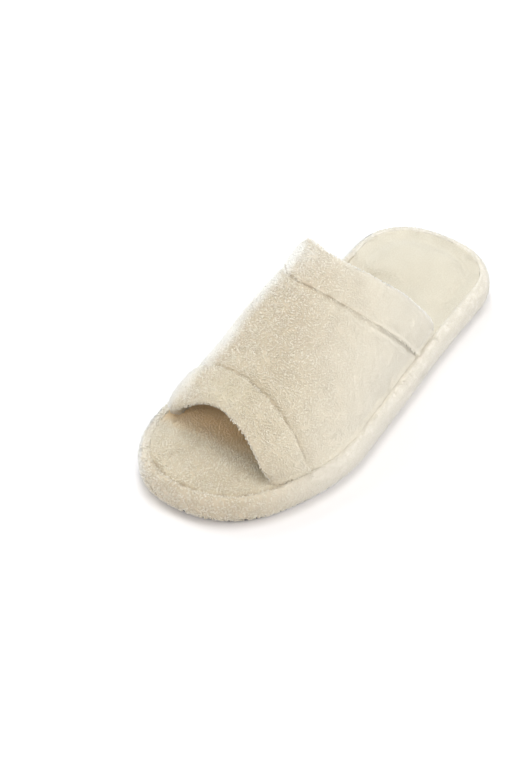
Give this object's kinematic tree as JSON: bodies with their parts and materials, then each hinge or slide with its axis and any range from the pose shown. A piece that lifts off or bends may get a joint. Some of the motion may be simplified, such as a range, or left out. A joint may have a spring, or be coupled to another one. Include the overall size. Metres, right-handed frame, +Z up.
{
  "type": "terry slipper",
  "caption": "Backless open-toe terry slipper for the left foot: a padded instep band with stitched edge rolls on a flat, terry-wrapped foam sole.",
  "frame": {"origin": "on the floor, under the middle of the slipper's box", "axes": "+Y along the slipper from toe to heel, +Z up, +X to the wearer's left, the outer side of the foot"},
  "size_m": [0.107, 0.265, 0.084],
  "materials": {
    "outsole": "matt grey non-slip sheet",
    "band_terry": "ivory terry",
    "insole_terry": "ivory terry, pressed flatter",
    "upper_terry": "ivory terry, lofty pile"
  },
  "bodies": {
    "root": {"outsole": "outsole", "platform": "band_terry", "insole": "insole_terry", "upper": "upper_terry"}
  },
  "joints": []
}
